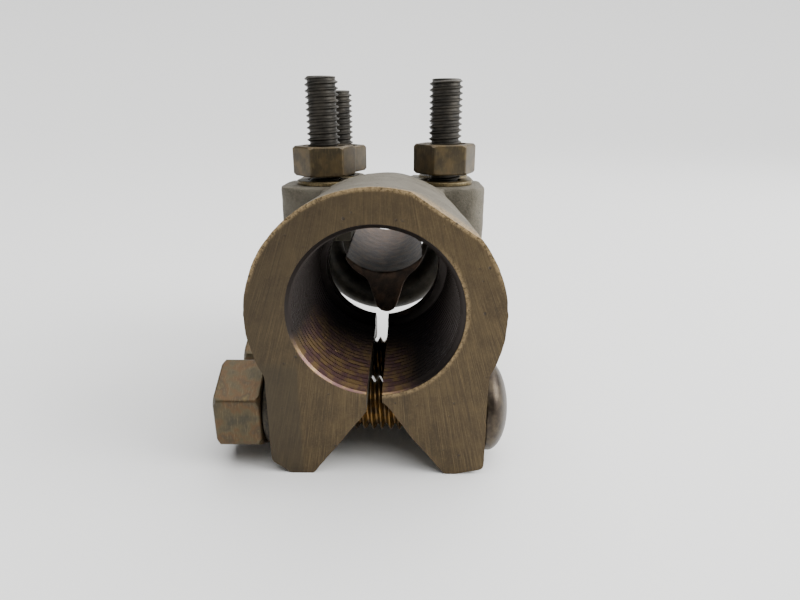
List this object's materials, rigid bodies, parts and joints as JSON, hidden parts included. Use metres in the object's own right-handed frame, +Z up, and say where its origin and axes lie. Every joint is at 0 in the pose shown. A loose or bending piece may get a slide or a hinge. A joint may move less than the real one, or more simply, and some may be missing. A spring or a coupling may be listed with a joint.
{
  "type": "conduit ground clamp",
  "caption": "Cast bronze ground clamp with a split threaded conduit hub on pinch bolts and a U-bolt cable clamp behind it.",
  "frame": {"origin": "on the hub axis, where the flared mouth meets the bore", "axes": "+Y along the hub axis from the mouth towards the cable clamp, +Z up from the jaws towards the U-bolt nuts, +X to the side of the domed pinch bolt heads"},
  "size_m": [0.0621, 0.0841, 0.0787],
  "materials": {
    "cast_bronze": "sand cast, weathered, with a filed front face",
    "keeper_bronze": "as cast",
    "stud_bronze": "dark tarnished",
    "nut_bronze": "satin, tarnished",
    "washer_bronze": "satin"
  },
  "bodies": {
    "clamp": {"clamp_body": "cast_bronze", "front_pinch_bolt": "stud_bronze", "rear_pinch_bolt": "stud_bronze", "front_left_washer": "washer_bronze", "front_right_washer": "washer_bronze", "rear_left_washer": "washer_bronze", "rear_right_washer": "washer_bronze"},
    "front_u_bolt": {"front_u_bolt": "stud_bronze"},
    "rear_u_bolt": {"rear_u_bolt": "stud_bronze"},
    "keeper": {"keeper": "keeper_bronze"},
    "front_left_nut": {"front_left_nut": "nut_bronze"},
    "front_right_nut": {"front_right_nut": "nut_bronze"},
    "rear_left_nut": {"rear_left_nut": "nut_bronze"},
    "rear_right_nut": {"rear_right_nut": "nut_bronze"},
    "front_pinch_washer": {"front_pinch_washer": "washer_bronze"},
    "front_pinch_nut": {"front_pinch_nut": "nut_bronze"},
    "rear_pinch_washer": {"rear_pinch_washer": "washer_bronze"},
    "rear_pinch_nut": {"rear_pinch_nut": "nut_bronze"}
  },
  "joints": [
    {"name": "front_u_bolt_slide", "type": "slide", "parent": "clamp", "child": "front_u_bolt", "axis": [0, 0, 1], "range_m": [-0.012, 0.0015]},
    {"name": "rear_u_bolt_slide", "type": "slide", "parent": "clamp", "child": "rear_u_bolt", "axis": [0, 0, 1], "range_m": [-0.012, 0.0015]},
    {"name": "keeper_slide", "type": "slide", "parent": "clamp", "child": "keeper", "axis": [0, 0, 1], "range_m": [-0.012, 0.0015]},
    {"name": "front_left_nut_turn", "type": "hinge", "parent": "clamp", "child": "front_left_nut", "pos_m": [-0.0151, 0.0445, 0.0245], "axis": [0, 0, 1], "range_deg": [-390, 3070]},
    {"name": "front_right_nut_turn", "type": "hinge", "parent": "clamp", "child": "front_right_nut", "pos_m": [0.0151, 0.0445, 0.0245], "axis": [0, 0, 1], "range_deg": [-390, 3070]},
    {"name": "rear_left_nut_turn", "type": "hinge", "parent": "clamp", "child": "rear_left_nut", "pos_m": [-0.014, 0.0665, 0.0245], "axis": [0, 0, 1], "range_deg": [-390, 3070]},
    {"name": "rear_right_nut_turn", "type": "hinge", "parent": "clamp", "child": "rear_right_nut", "pos_m": [0.0162, 0.0665, 0.0245], "axis": [0, 0, 1], "range_deg": [-390, 3070]},
    {"name": "front_pinch_washer_slide", "type": "slide", "parent": "clamp", "child": "front_pinch_washer", "axis": [-1, 0, 0], "range_m": [0, 0.008]},
    {"name": "front_pinch_nut_turn", "type": "hinge", "parent": "front_pinch_washer", "child": "front_pinch_nut", "pos_m": [-0.0284, 0.0077, -0.024], "axis": [-1, 0, 0], "range_deg": [0, 1590]},
    {"name": "rear_pinch_washer_slide", "type": "slide", "parent": "clamp", "child": "rear_pinch_washer", "axis": [-1, 0, 0], "range_m": [0, 0.008]},
    {"name": "rear_pinch_nut_turn", "type": "hinge", "parent": "rear_pinch_washer", "child": "rear_pinch_nut", "pos_m": [-0.0284, 0.0297, -0.024], "axis": [-1, 0, 0], "range_deg": [0, 1590]}
  ],
  "couplings": [
    {"joint": "rear_u_bolt_slide", "follows": "front_u_bolt_slide", "ratio": 1},
    {"joint": "keeper_slide", "follows": "front_u_bolt_slide", "ratio": 1},
    {"joint": "front_left_nut_turn", "follows": "front_u_bolt_slide", "rad_per_m": -4452.7},
    {"joint": "front_right_nut_turn", "follows": "front_u_bolt_slide", "rad_per_m": -4452.7},
    {"joint": "rear_left_nut_turn", "follows": "front_u_bolt_slide", "rad_per_m": -4452.7},
    {"joint": "rear_right_nut_turn", "follows": "front_u_bolt_slide", "rad_per_m": -4452.7},
    {"joint": "front_pinch_nut_turn", "follows": "front_pinch_washer_slide", "rad_per_m": 3463.2},
    {"joint": "rear_pinch_nut_turn", "follows": "rear_pinch_washer_slide", "rad_per_m": 3463.2}
  ]
}
